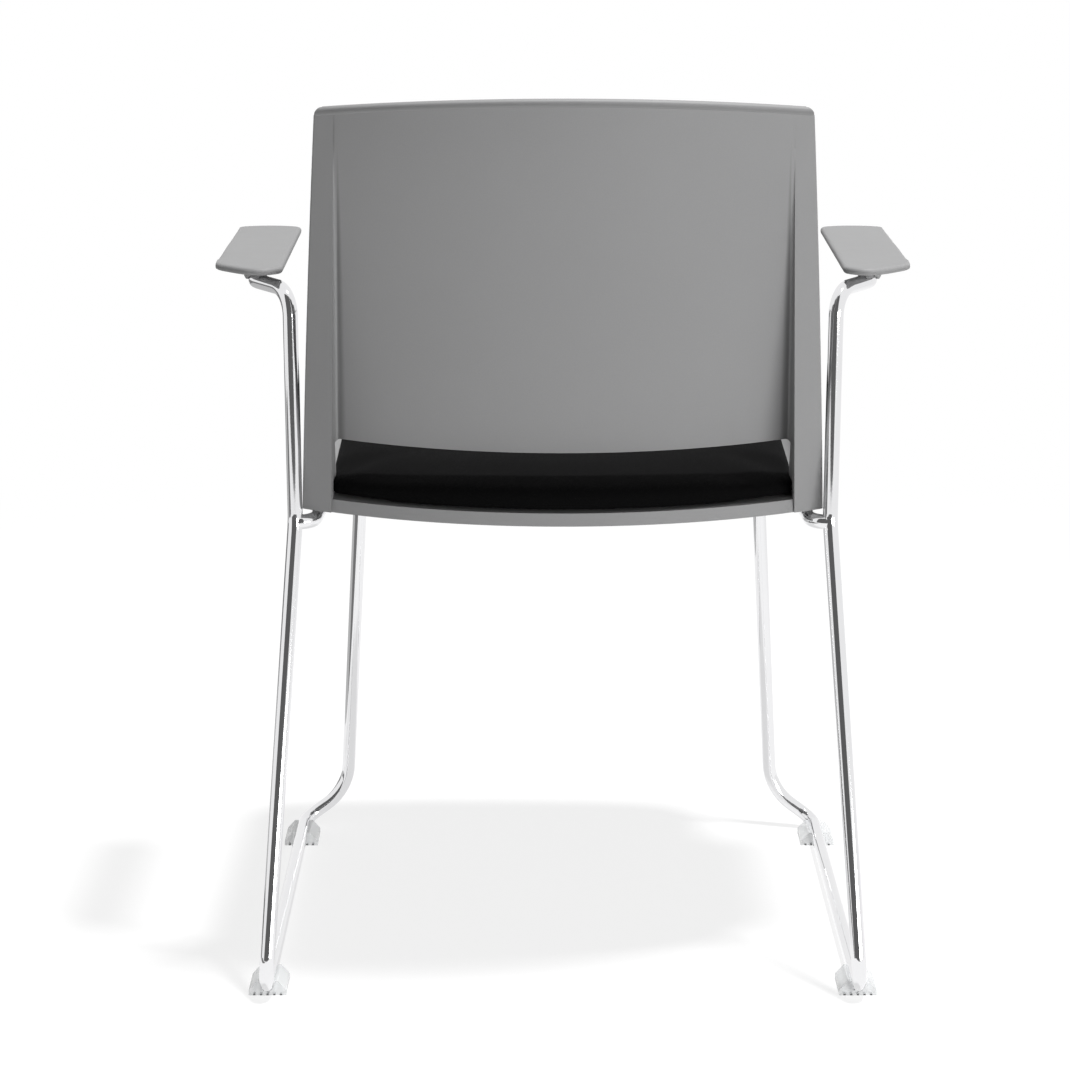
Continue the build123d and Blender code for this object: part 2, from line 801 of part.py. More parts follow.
with BuildPart() as left_arm_screws:
    for s in arm_screw_s:
        with BuildSketch(arm_face(s, -rod_radius)):
            Circle(m5_head / 2)
        extrude(amount=m5_head_height)
        with BuildSketch(arm_face(s, m5_head_height - rod_radius)):
            Circle(m5 / 2)
        extrude(amount=rod_radius - m5_head_height + arm_screw_grip)
        with BuildSketch(arm_face(s, -rod_radius)):
            RegularPolygon(m5 / 3, 6)
        extrude(amount=m5_head_height * socket_share, mode=Mode.SUBTRACT)
save_pair(left_arm_screws, "arm_screws")

# Glides: ridged feet that clip round the runners and are located by a peg
for end, rear_y in (("rear", glide_rear_y), ("front", glide_front_y)):
    with BuildPart() as left_glide:
        with BuildSketch(Plane.XZ.offset(-rear_y)):
            with BuildLine():
                Polyline(
                    (runner_half_span - glide_width / 2, 0),
                    (runner_half_span + glide_width / 2, 0),
                    (runner_half_span + glide_width / 2, glide_foot_height),
                    (runner_half_span + glide_top_width / 2, glide_height),
                    (runner_half_span - glide_top_width / 2, glide_height),
                    (runner_half_span - glide_width / 2, glide_foot_height),
                    close=True,
                )
            make_face()
            first = runner_half_span - glide_groove_pitch * (glide_grooves - 1) / 2
            with Locations(*[(first + glide_groove_pitch * k, 0) for k in range(glide_grooves)]):
                Rectangle(glide_groove_width, 2 * glide_groove_depth, mode=Mode.SUBTRACT)
        extrude(amount=glide_length)
        add(left_side_rod.part, mode=Mode.SUBTRACT)
        with BuildSketch(Plane.XY.offset(floor_gap - run_out)):
            with Locations((runner_half_span, rear_y - glide_length / 2)):
                Circle(peg_diameter / 2)
        extrude(amount=peg_length + run_out)
    save_pair(left_glide, f"{end}_glide")
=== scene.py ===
"""Looks for a sled-base armchair: shell, padded seat, bright rods, arm pads, clear glides and a studio.

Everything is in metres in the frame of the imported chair: +X is the sitter's left, +Y the back, +Z up.
"""

import json
import math
from contextlib import contextmanager

import bpy
import numpy as np
from bpy.props import FloatProperty, FloatVectorProperty, IntProperty, PointerProperty
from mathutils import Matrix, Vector

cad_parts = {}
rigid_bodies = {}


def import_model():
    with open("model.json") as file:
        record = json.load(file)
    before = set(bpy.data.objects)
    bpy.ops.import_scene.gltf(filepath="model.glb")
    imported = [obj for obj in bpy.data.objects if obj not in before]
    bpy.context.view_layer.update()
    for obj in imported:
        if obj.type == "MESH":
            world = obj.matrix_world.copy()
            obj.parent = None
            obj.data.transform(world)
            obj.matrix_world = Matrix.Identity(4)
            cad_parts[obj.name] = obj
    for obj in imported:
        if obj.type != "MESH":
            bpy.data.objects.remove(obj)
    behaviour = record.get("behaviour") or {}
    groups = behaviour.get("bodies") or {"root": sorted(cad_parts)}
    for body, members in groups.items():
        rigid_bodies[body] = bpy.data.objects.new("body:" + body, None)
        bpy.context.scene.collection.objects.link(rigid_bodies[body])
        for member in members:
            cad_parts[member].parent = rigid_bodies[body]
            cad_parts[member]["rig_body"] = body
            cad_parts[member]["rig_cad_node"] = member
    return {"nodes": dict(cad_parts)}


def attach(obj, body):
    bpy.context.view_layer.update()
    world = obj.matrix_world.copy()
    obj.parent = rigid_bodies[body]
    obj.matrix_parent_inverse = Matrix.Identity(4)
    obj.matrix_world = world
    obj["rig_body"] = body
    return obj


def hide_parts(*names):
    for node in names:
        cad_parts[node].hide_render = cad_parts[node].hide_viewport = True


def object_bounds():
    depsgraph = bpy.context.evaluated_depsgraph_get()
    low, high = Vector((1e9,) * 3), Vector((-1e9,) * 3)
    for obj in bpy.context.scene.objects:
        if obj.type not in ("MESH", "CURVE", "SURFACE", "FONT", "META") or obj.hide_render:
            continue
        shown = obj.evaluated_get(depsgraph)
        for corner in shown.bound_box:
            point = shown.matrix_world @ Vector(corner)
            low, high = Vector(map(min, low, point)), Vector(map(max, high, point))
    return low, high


bl_info = {
    "name": "Sled-base armchair",
    "version": (1, 0, 0),
    "blender": (4, 5, 0),
    "location": "View3D > Sidebar > Armchair",
    "description": "Models and finishes the pieces of a sled-base armchair on its packed frame",
    "category": "Object",
}

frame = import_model()
cad_box = [list(corner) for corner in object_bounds()]
shell_top = cad_box[1][2]
sides = ("left", "right")
ends = ("front", "rear")

# The grooves under the glides run forwards, side by side round the middle of each glide.
glide_middle = 0.2745
groove_pitch = 0.0062


def colour_property(label, words, default):
    """A colour that a user can pick."""
    return FloatVectorProperty(
        name=label, description=words, subtype="COLOR", size=3, min=0.0, max=1.0, default=default
    )


def length_property(label, words, default):
    """A length in metres."""
    return FloatProperty(
        name=label, description=words, subtype="DISTANCE", unit="LENGTH", default=default
    )


def place_property(label, words, default):
    """A place in the chair's frame."""
    return FloatVectorProperty(
        name=label, description=words, subtype="TRANSLATION", unit="LENGTH", size=3, default=default
    )


def power_property(label, words, default):
    """Power of a lamp in watts."""
    return FloatProperty(name=label, description=words, subtype="POWER", unit="POWER", default=default)


def number_property(label, words, default):
    """A plain number."""
    return FloatProperty(name=label, description=words, default=default)


def count_property(label, words, default):
    """A whole number."""
    return IntProperty(name=label, description=words, default=default)


class ArmchairFinishes(bpy.types.PropertyGroup):
    """Colours and surface sizes of the chair's materials"""

    shell_grey: colour_property("Shell grey", "Moulded shell and arm pads", (0.275, 0.275, 0.277))
    # Painted shade: how dark the shade painted into the crease beside the side strips is.
    painted_crease_tone: number_property("Crease shade", "Tone left in the crease by the strips", 0.6)
    # Painted shadow: how dark the shadow painted in the line under the top rim is.
    painted_rim_tone: number_property("Rim shade", "Tone left in the line under the top rim", 0.78)
    shell_grain: length_property("Shell grain", "Size of the moulded plastic's grain", 0.0007)
    cloth_black: colour_property("Cloth black", "Threads of the seat cover", (0.0029, 0.0029, 0.003))
    cloth_pitch: length_property("Thread pitch", "Distance between the cover's threads", 0.0014)
    bright_metal: colour_property("Bright plating", "Plated rods, bars and plates", (0.8, 0.8, 0.81))
    screw_metal: colour_property("Screw metal", "Plated screws, washers and nuts", (0.56, 0.56, 0.57))
    insert_metal: colour_property("Insert metal", "Threaded inserts", (0.62, 0.46, 0.2))
    glide_clear: colour_property("Clear plastic", "Glides under the runners", (0.93, 0.945, 0.95))
    board_wood: colour_property("Board wood", "Plywood board inside the pad", (0.52, 0.37, 0.22))


class ArmchairSizes(bpy.types.PropertyGroup):
    """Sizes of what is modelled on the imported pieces"""

    arm_outer: length_property("Arm width", "How far out the arm pads reach at the rear", 0.3225)
    arm_taper: length_property("Arm taper", "How much closer in the arm pads are at the front", 0.003)
    arm_plate_foot: length_property("Arm plate foot", "Height of the arm plates' underside", 0.6585)
    arm_corner: length_property("Arm corner", "Where the plates' rounded rear corner begins", 0.112)
    arm_draw: length_property("Arm draw", "How far the outer rear corner is drawn forward", 0.018)
    arm_draw_reach: length_property("Arm draw reach", "How far the draw fades out over the plate", 0.045)
    arm_voxel: length_property("Arm mesh", "Size of the arm pads' mesh", 0.0013)
    arm_smoothing: count_property("Arm smoothing", "Rounds that soften the arm pads", 10)
    pad_voxel: length_property("Pad mesh", "Size of the pad's mesh before it is filled", 0.005)
    pad_side_gain: length_property("Pad side gain", "How far the pad stands out at each side", 0.005)
    pad_rear_gain: length_property("Pad rear gain", "How far the pad stands out at the rear", 0.01)
    pad_droop: length_property("Pad droop", "How far the rear edge of the pad's top hangs down", 0.006)
    pad_droop_reach: length_property("Pad droop reach", "How far the droop fades out over the pad", 0.07)
    pad_tuck: length_property("Pad tuck", "How far the pad is drawn in before it swells", 0.001)
    pad_swell: length_property("Pad swell", "Furthest that a point of the pad may swell", 0.0015)
    pad_pressure: number_property("Pad pressure", "Pressure of the pad's filling", 4.0)
    pad_frames: count_property("Pad frames", "Steps of the pad's simulation", 20)
    pad_smoothing: count_property("Pad smoothing", "Rounds that even out the pad's folds", 20)


class ArmchairStage(bpy.types.PropertyGroup):
    """Camera and light of the studio"""

    camera_place: place_property("Camera", "Place of the camera", (0.0258, 3.1613, 1.0782))
    camera_pitch: FloatProperty(
        name="Pitch", description="How far the camera looks down", subtype="ANGLE", default=0.2170
    )
    camera_lens: number_property("Lens", "Focal length in millimetres", 110.96)
    world_light: number_property("Room light", "Strength of the light from all round", 0.17)
    key_place: place_property("Key lamp", "Place of the low lamp beside the camera", (-2.1, 3.2, 0.5))
    key_light: power_property("Key light", "Power of the low lamp beside the camera", 76.0)
    top_place: place_property("Top lamp", "Place of the overhead lamp", (-1.33, 0.8, 7.0))
    top_light: power_property("Top light", "Power of the overhead lamp", 490.0)


def overload(operation):
    """The two methods of one sign: with the signal on its left, and on its right."""

    def forward(signal, other):
        return signal.maths(operation, signal, other)

    def reflected(signal, other):
        return signal.maths(operation, other, signal)

    return forward, reflected


class Signal:
    """One value of a material, so that sums on it read as plain Python."""

    __add__, __radd__ = overload("ADD")
    __sub__, __rsub__ = overload("SUBTRACT")
    __mul__, __rmul__ = overload("MULTIPLY")
    __truediv__, __rtruediv__ = overload("DIVIDE")
    __pow__, __rpow__ = overload("POWER")

    def __init__(self, paint, socket):
        self.paint = paint
        self.socket = socket

    def __abs__(self):
        return self.maths("ABSOLUTE", self)

    def maths(self, operation, *values):
        """A Math node on these values."""
        return self.paint.node("ShaderNodeMath", {"operation": operation}, dict(enumerate(values)))

    def greater(self, other):
        """The larger of two values."""
        return self.maths("MAXIMUM", self, other)

    def cosine(self):
        """Cosine of the value."""
        return self.maths("COSINE", self)

    def wave(self):
        """Sine of the value, from 0 to 1."""
        return self.maths("SINE", self) * 0.5 + 0.5

    def band(self, low, high):
        """0 below low, 1 above high, and smooth between."""
        sockets = {"Value": self, "From Min": low, "From Max": high}
        return self.paint.node("ShaderNodeMapRange", {"interpolation_type": "SMOOTHSTEP"}, sockets)

    def between(self, rise, fall):
        """1 between two bands: it goes up over the first and down over the second."""
        return self.band(*rise) * (1 - self.band(*fall))


class Paint:
    """The nodes of one material or of the world."""

    def __init__(self, owner):
        owner.use_nodes = True
        self.owner = owner
        self.tree = owner.node_tree
        self.tree.nodes.clear()

    def node(self, kind, settings=None, sockets=None, out=0):
        """Any node, by its type, its settings and what its sockets hold; a plain colour gets its alpha."""
        made = self.tree.nodes.new(kind)
        for key, value in (settings or {}).items():
            setattr(made, key, value)
        for key, value in (sockets or {}).items():
            socket = made.inputs[key]
            if isinstance(value, Signal):
                self.tree.links.new(value.socket, socket)
            elif socket.type == "RGBA":
                socket.default_value = (*value[:3], 1.0)
            else:
                socket.default_value = value
        return Signal(self, made.outputs[out]) if made.outputs else None

    def several(self, kind, outs, sockets=None):
        """Some of the outputs of one node."""
        outputs = self.node(kind, None, sockets).socket.node.outputs
        return [Signal(self, outputs[out]) for out in outs]

    def place(self):
        """Object coordinates, in metres."""
        return self.node("ShaderNodeTexCoord", out="Object")

    def split(self, vector):
        """The three numbers of a vector."""
        return self.several("ShaderNodeSeparateXYZ", range(3), {0: vector})

    def noise(self, vector, size, detail=2.0, roughness=0.5):
        """Soft noise with features of about this size, in metres."""
        sockets = {"Vector": vector, "Scale": 1.0 / size, "Detail": detail, "Roughness": roughness}
        return self.node("ShaderNodeTexNoise", None, sockets)

    def blend(self, share, first, second):
        """Colour between two colours, which a Mix node holds in sockets 6 and 7, with its result in 2."""
        sockets = {"Factor": share, 6: first, 7: second}
        return self.node("ShaderNodeMix", {"data_type": "RGBA"}, sockets, out=2)

    def bump(self, height, depth):
        """Surface normal of a relief whose full height is this depth, in metres."""
        return self.node("ShaderNodeBump", None, {"Height": height, "Distance": depth, "Strength": 1.0})

    def shader(self, **sockets):
        """One principled shader, by what its sockets hold."""
        named = {}
        for key, value in sockets.items():
            named[key.replace("_", " ").title().replace("Ior", "IOR")] = value
        return self.node("ShaderNodeBsdfPrincipled", None, named)

    def glow(self, strength):
        """A shader that gives off white light, or grey light below 1."""
        return self.node("ShaderNodeEmission", None, {"Color": (1, 1, 1), "Strength": strength})

    def matt(self, shade):
        """A plain matt grey."""
        return self.node("ShaderNodeBsdfDiffuse", None, {"Color": (shade, shade, shade)})

    def mix(self, share, first, second):
        """Shader between two shaders."""
        return self.node("ShaderNodeMixShader", None, {0: share, 1: first, 2: second})

    def output(self, shader, kind="ShaderNodeOutputMaterial"):
        """Send a shader to the surface."""
        self.node(kind, None, {"Surface": shader})


def tinted(colour, factor):
    """A colour made lighter or darker."""
    return tuple(min(1.0, part * factor) for part in colour)


def shared(build):
    """The material that a function builds, made the first time that it is asked for."""
    material = bpy.data.materials.get(build.__name__)
    if material is None:
        material = bpy.data.materials.new(build.__name__)
        build(Paint(material), bpy.context.scene.armchair_finishes)
    return material


def painted_crease_shade(paint, spot):
    """1 in the crease where the panel meets the side strips, where shade is painted into the colour,
    fading out to its upper end.
    """
    strip_foot = 0.4365
    strip_height = 0.3916
    foot_edge = 0.215
    edge_taper = 0.0113
    edge_radius = 0.003
    crease_top = 0.795
    crease_length = 0.285
    least_reach = 0.0005
    reach_gain = 0.0095
    soft_edge = 0.0015
    fade_from = 0.3
    fade_power = 0.6
    full_run = 0.6
    panel_foot = (0.47, 0.485)
    x, _, z = paint.split(spot)
    rise = (z - strip_foot) / strip_height
    strip_edge = foot_edge - edge_taper * rise
    run = ((crease_top - z) / crease_length).greater(0.0) ** fade_power
    depth = strip_edge - abs(x) - edge_radius
    inward = depth / (reach_gain * run + least_reach)
    across = depth.band(0.0, soft_edge) * (1 - inward.band(fade_from, 1.0))
    return across * run.band(0.0, full_run) * z.band(*panel_foot)


def painted_rim_shade(paint, spot):
    """1 in the line under the rolled top edge where a shadow is painted, following the edge's arc."""
    arch = 0.235
    line_top = (0.001, 0.003)
    line_foot = (0.005, 0.008)
    x, _, z = paint.split(spot)
    depth = shell_top - arch * (x * x) - z
    return depth.between(line_top, line_foot)


def moulded_plastic(paint, finishes):
    """Matt polypropylene with a fine spark-eroded grain, faint flow clouds, and shade painted into the
    crease beside the side strips and under the top rim.
    """
    grey = finishes.shell_grey
    spot = paint.place()
    grain = paint.noise(spot, finishes.shell_grain, detail=3.0, roughness=0.62)
    pebble = paint.noise(spot, 4 * finishes.shell_grain, detail=2.0)
    cloud = paint.noise(spot, size=0.11, detail=3.0)
    rub = paint.noise(spot, size=0.018, detail=4.0, roughness=0.65)
    base = paint.blend(cloud, tinted(grey, 0.965), tinted(grey, 1.035))
    base = paint.blend(grain.band(0.35, 0.75) * 0.5, base, tinted(grey, 1.12))
    # Painted shade in the crease beside the side strips.
    base = paint.blend(painted_crease_shade(paint, spot), base, tinted(grey, finishes.painted_crease_tone))
    # Painted shadow in the line under the top rim.
    base = paint.blend(painted_rim_shade(paint, spot), base, tinted(grey, finishes.painted_rim_tone))
    plastic = paint.shader(
        base_color=base,
        roughness=0.5 + 0.1 * grain + 0.08 * rub,
        normal=paint.bump(grain * 0.7 + pebble * 0.3, depth=0.00006),
        specular_ior_level=0.42,
    )
    paint.output(plastic)


def bright_plating(paint, finishes):
    """Polished chrome plating with a trace of bloom and hairline polish."""
    metal = finishes.bright_metal
    spot = paint.place()
    bloom = paint.noise(spot, size=0.045, detail=3.0)
    hair = paint.noise(spot, size=0.0012, detail=2.0)
    plating = paint.shader(
        base_color=paint.blend(bloom, tinted(metal, 0.97), tinted(metal, 1.02)),
        metallic=1.0,
        roughness=0.035 + 0.03 * bloom + 0.015 * hair,
        normal=paint.bump(bloom, depth=0.00002),
    )
    paint.output(plating)


def woven_cloth(paint, finishes):
    """Plain-woven black wool blend: threads over and under, a little slub, and fibre fuzz."""
    black = finishes.cloth_black
    turn = 2 * math.pi / finishes.cloth_pitch
    spot = paint.place()
    x, y, z = paint.split(spot)
    slub = paint.noise(spot, size=0.006, detail=2.0)
    wander = (slub - 0.5) * 1.6
    warp = ((x + z) * turn + wander).wave()
    weft = ((y - z) * turn + wander).wave()
    over = ((x + z) * (turn / 2)).wave().band(0.4, 0.6)
    thread = over * warp + (1 - over) * weft
    fuzz = paint.noise(spot, size=0.0009, detail=3.0, roughness=0.7)
    fade = paint.noise(spot, size=0.14, detail=2.0)
    base = paint.blend(thread * 0.7 + fuzz * 0.3, tinted(black, 0.55), tinted(black, 1.5))
    base = paint.blend(fade.band(0.4, 0.8) * 0.3, base, tinted(black, 1.7))
    cloth = paint.shader(
        base_color=base,
        roughness=0.86 + 0.1 * fuzz,
        normal=paint.bump(thread * 0.75 + fuzz * 0.25, depth=0.00025),
        specular_ior_level=0.04,
        sheen_weight=0.012,
        sheen_roughness=0.6,
        sheen_tint=(0.5, 0.5, 0.52),
    )
    paint.output(cloth)


def across_glide(x):
    """How far a point lies to the side of the middle of its glide."""
    return abs(x) - glide_middle


def groove_wave(across):
    """1 along the middle of each groove under a glide, and -1 between the grooves."""
    return (across * (2 * math.pi / groove_pitch)).cosine()


def clear_plastic(paint, finishes):
    """Clear moulded plastic, a little frosted, with shade painted dark in the grooves under the foot."""
    groove_roof = (0.0017, 0.0022)
    pale = finishes.glide_clear
    spot = paint.place()
    x, _, z = paint.split(spot)
    frost = paint.noise(spot, size=0.004, detail=3.0)
    scuff = paint.noise(spot, size=0.0008, detail=2.0)
    clear = paint.shader(
        base_color=paint.blend(frost, tinted(pale, 0.98), tinted(pale, 1.02)),
        roughness=0.03 + 0.04 * frost + 0.03 * scuff,
        normal=paint.bump(frost, depth=0.00004),
        transmission_weight=0.97,
        ior=1.36,
    )
    painted_shade_surface = paint.shader(base_color=tinted(finishes.screw_metal, 0.06), roughness=0.8 + 0.1 * scuff)
    # Painted shade: the groove walls up to their roof take the dark surface.
    painted_groove_shade = groove_wave(across_glide(x)).band(0.1, 0.4) * (1 - z.band(*groove_roof))
    paint.output(paint.mix(painted_groove_shade, clear, painted_shade_surface))


def zinc_plating(paint, finishes):
    """Zinc-plated steel with fine crystal mottling."""
    metal = finishes.screw_metal
    spot = paint.place()
    mottle = paint.noise(spot, size=0.0025, detail=3.0)
    brush = paint.noise(spot, size=0.0005, detail=2.0)
    zinc = paint.shader(
        base_color=paint.blend(mottle, tinted(metal, 0.9), tinted(metal, 1.1)),
        metallic=1.0,
        roughness=0.26 + 0.16 * mottle,
        normal=paint.bump(brush, depth=0.00003),
    )
    paint.output(zinc)


def turned_brass(paint, finishes):
    """Machined brass of the threaded inserts."""
    metal = finishes.insert_metal
    spot = paint.place()
    tool = paint.noise(spot, size=0.0006, detail=2.0)
    stain = paint.noise(spot, size=0.004, detail=3.0)
    brass = paint.shader(
        base_color=paint.blend(stain, tinted(metal, 0.85), tinted(metal, 1.1)),
        metallic=1.0,
        roughness=0.28 + 0.12 * stain,
        normal=paint.bump(tool, depth=0.00003),
    )
    paint.output(brass)


def raw_plywood(paint, finishes):
    """Birch plywood with long grain along the seat."""
    wood = finishes.board_wood
    along_seat = (1.0, 0.08, 1.0)
    stretched = paint.node("ShaderNodeMapping", None, {"Vector": paint.place(), "Scale": along_seat})
    grain = paint.noise(stretched, size=0.003, detail=5.0, roughness=0.6)
    figure = paint.noise(stretched, size=0.03, detail=3.0)
    base = paint.blend(grain, tinted(wood, 0.8), tinted(wood, 1.15))
    base = paint.blend(figure.band(0.45, 0.7) * 0.4, base, tinted(wood, 0.75))
    plywood = paint.shader(
        base_color=base, roughness=0.6 + 0.2 * grain, normal=paint.bump(grain, depth=0.0001)
    )
    paint.output(plywood)


def deselect_all():
    """Leave nothing selected and no edit mode open."""
    if bpy.context.object and bpy.context.object.mode != "OBJECT":
        bpy.ops.object.mode_set(mode="OBJECT")
    bpy.ops.object.select_all(action="DESELECT")


def pick(piece):
    """Make one object the only selected and active one."""
    deselect_all()
    piece.select_set(True)
    bpy.context.view_layer.objects.active = piece


@contextmanager
def editing(select=None):
    """Edit mode on the active piece, with all, nothing or what was picked before selected."""
    bpy.ops.object.mode_set(mode="EDIT")
    if select:
        bpy.ops.mesh.select_all(action=select)
    yield
    bpy.ops.object.mode_set(mode="OBJECT")


def merged_copy(nodes, name):
    """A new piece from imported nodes, with its loose triangles welded together."""
    deselect_all()
    copies = []
    for node in nodes:
        source = frame["nodes"][node]
        twin = source.copy()
        twin.data = source.data.copy()
        twin.parent = None
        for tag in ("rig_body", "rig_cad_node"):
            del twin[tag]
        bpy.context.scene.collection.objects.link(twin)
        twin.select_set(True)
        copies.append(twin)
    piece = copies[0]
    bpy.context.view_layer.objects.active = piece
    if len(copies) > 1:
        bpy.ops.object.join()
    piece.name = name
    piece.data.name = name
    with editing("SELECT"):
        bpy.ops.mesh.remove_doubles(threshold=0.00001)
    return piece


def remesh(piece, voxel):
    """Give the active piece an even mesh of this size."""
    piece.data.remesh_voxel_size = voxel
    bpy.ops.object.voxel_remesh()


def apply_modifier(piece, kind, **settings):
    """Add a modifier to the active piece, set it and apply it."""
    bpy.ops.object.modifier_add(type=kind)
    modifier = piece.modifiers[-1]
    for key, value in settings.items():
        setattr(modifier, key, value)
    bpy.ops.object.modifier_apply(modifier=modifier.name)


def rows(items, field):
    """A field of a mesh's points as an array with three columns."""
    values = np.zeros(len(items) * 3)
    items.foreach_get(field, values)
    return values.reshape(-1, 3)


def vertex_places(mesh):
    """Places of a mesh's vertices."""
    return rows(mesh.vertices, "co")


def vertex_normals(mesh):
    """Normals of a mesh's vertices."""
    return rows(mesh.vertex_normals, "vector")


def put_vertices(mesh, places):
    """Move a mesh's vertices to these places."""
    mesh.vertices.foreach_set("co", places.ravel())
    mesh.update()


def drag(piece, chosen, hidden, move, reach):
    """Move chosen points of a piece and let the move fade out over the points round them that show."""
    if not chosen.any():
        raise RuntimeError(f"no points to move on {piece.name}")
    with editing("DESELECT"):
        bpy.ops.mesh.select_mode(type="VERT")
    piece.data.vertices.foreach_set("hide", hidden)
    piece.data.vertices.foreach_set("select", chosen)
    with editing():
        bpy.ops.transform.translate(
            value=move,
            use_proportional_edit=True,
            proportional_edit_falloff="SMOOTH",
            proportional_size=reach,
        )
        bpy.ops.mesh.reveal(select=False)


def finish_piece(piece, nodes, material):
    """Give a new piece its material and its body, and hide the nodes that it stands for."""
    if not piece.data.polygons:
        raise RuntimeError(f"{piece.name} has no faces")
    piece.data.materials.clear()
    piece.data.materials.append(material)
    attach(piece, "root")
    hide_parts(*nodes)


def dress(nodes, material):
    """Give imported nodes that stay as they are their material."""
    for node in nodes:
        slots = frame["nodes"][node].data.materials
        slots.clear()
        slots.append(material)


class ARMCHAIR_OT_shell(bpy.types.Operator):
    """Finish the one-piece moulded shell"""

    bl_idname = "armchair.shell"
    bl_label = "Moulded shell"

    def execute(self, context):
        dress(["shell"], shared(moulded_plastic))
        return {"FINISHED"}


class ARMCHAIR_OT_arm_pads(bpy.types.Operator):
    """Trim the two arm pads, draw in their outer rear corners and finish them"""

    bl_idname = "armchair.arm_pads"
    bl_label = "Arm pads"

    def execute(self, context):
        sizes = context.scene.armchair_sizes
        for side in sides:
            node = f"{side}_arm_pad"
            rest = merged_copy([node], f"{side}_arm_rest")
            self.trim(rest, sizes)
            remesh(rest, sizes.arm_voxel)
            apply_modifier(rest, "SMOOTH", iterations=sizes.arm_smoothing)
            self.draw_in(rest, sizes)
            bpy.ops.object.shade_smooth()
            finish_piece(rest, [node], shared(moulded_plastic))
        return {"FINISHED"}

    @staticmethod
    def trim(rest, sizes):
        """Cut the outer side straight and a little closer in at the front."""
        places = vertex_places(rest.data)
        sign = 1 if places[:, 0].mean() > 0 else -1
        front, rear = places[:, 1].min(), places[:, 1].max()
        slope = sizes.arm_taper / (rear - front)
        with editing("SELECT"):
            bpy.ops.mesh.bisect(
                plane_co=(sign * sizes.arm_outer, rear, 0.0),
                plane_no=(sign, -slope, 0.0),
                use_fill=True,
                clear_outer=True,
            )

    @staticmethod
    def draw_in(rest, sizes):
        """Draw the outer rear corner of the plate forward in a soft curve, and leave the keel alone."""
        corner_width = 0.008
        plate_slope = 0.017
        places = vertex_places(rest.data)
        outer = np.abs(places[:, 0]) > sizes.arm_outer - corner_width
        keel = places[:, 2] < sizes.arm_plate_foot
        corner = outer & (places[:, 1] > sizes.arm_corner) & ~keel
        move = (0.0, -sizes.arm_draw, plate_slope * sizes.arm_draw)
        drag(rest, corner, keel, move, sizes.arm_draw_reach)


class ARMCHAIR_OT_seat_pad(bpy.types.Operator):
    """Fill the upholstered seat pad by cloth simulation"""

    bl_idname = "armchair.seat_pad"
    bl_label = "Seat pad"

    def execute(self, context):
        sizes = context.scene.armchair_sizes
        pad = merged_copy(["seat_cover", "seat_foam", "seat_board"], "seat_pad")
        self.plump(pad, sizes)
        remesh(pad, sizes.pad_voxel)
        self.droop(pad, sizes)
        seat = self.hold_the_foot(pad, sizes.pad_tuck)
        self.fill(context, pad, seat, sizes)
        apply_modifier(pad, "SMOOTH", iterations=sizes.pad_smoothing)
        apply_modifier(pad, "SUBSURF", levels=1, render_levels=1)
        bpy.ops.object.shade_smooth()
        finish_piece(pad, ["seat_cover", "seat_foam"], shared(woven_cloth))
        dress(["seat_board"], shared(raw_plywood))
        return {"FINISHED"}

    @staticmethod
    def plump(pad, sizes):
        """Stretch the copy at its sides and rear, as the foam presses its cover out."""
        places = vertex_places(pad.data)
        low = places.min(axis=0)
        width, length, _ = places.max(axis=0) - low
        wider = (width + 2 * sizes.pad_side_gain) / width
        longer = (length + sizes.pad_rear_gain) / length
        with editing("SELECT"):
            bpy.ops.transform.resize(value=(wider, longer, 1.0), center_override=(0.0, low[1], low[2]))

    @staticmethod
    def droop(pad, sizes):
        """Let the rounded rear edge of the top hang lower, in a soft curve."""
        slant = 0.3
        _, rearward, upward = vertex_normals(pad.data).T
        edge = (rearward > slant) & (upward > slant)
        underside = upward < -slant
        drag(pad, edge, underside, (0.0, 0.0, -sizes.pad_droop), sizes.pad_droop_reach)

    @staticmethod
    def hold_the_foot(pad, tuck):
        """Hold the foot and the walls, and lower the free part of the top so that it can swell."""
        wall_upward = 0.1
        upward_span = 0.7
        levels = 8
        places = vertex_places(pad.data)
        normals = vertex_normals(pad.data)
        hold = 1.0 - np.clip((normals[:, 2] - wall_upward) / upward_span, 0.0, 1.0)
        seat = pad.vertex_groups.new(name="seated")
        for level in range(1, levels + 1):
            members = np.flatnonzero(np.rint(hold * levels) == level)
            seat.add(members.tolist(), level / levels, "REPLACE")
        put_vertices(pad.data, places - normals * (tuck * (1.0 - hold))[:, None])
        return seat

    @staticmethod
    def fill(context, pad, seat, sizes):
        """Swell the cover with pressure, and cap how far each point goes."""
        least_reach = 1e-9
        before = vertex_places(pad.data)
        cloth = pad.modifiers.new("filling", "CLOTH")
        cloth.settings.use_pressure = True
        cloth.settings.uniform_pressure_force = sizes.pad_pressure
        cloth.settings.vertex_group_mass = seat.name
        cloth.settings.effector_weights.gravity = 0.0
        cloth.settings.tension_stiffness = 25.0
        cloth.settings.compression_stiffness = 25.0
        cloth.settings.bending_stiffness = 20.0
        for step in range(1, sizes.pad_frames + 1):
            context.scene.frame_set(step)
        pick(pad)
        bpy.ops.object.modifier_apply(modifier=cloth.name)
        context.scene.frame_set(1)
        moved = vertex_places(pad.data) - before
        reach = np.linalg.norm(moved, axis=1, keepdims=True)
        share = np.minimum(1.0, sizes.pad_swell / np.maximum(reach, least_reach))
        put_vertices(pad.data, before + moved * share)


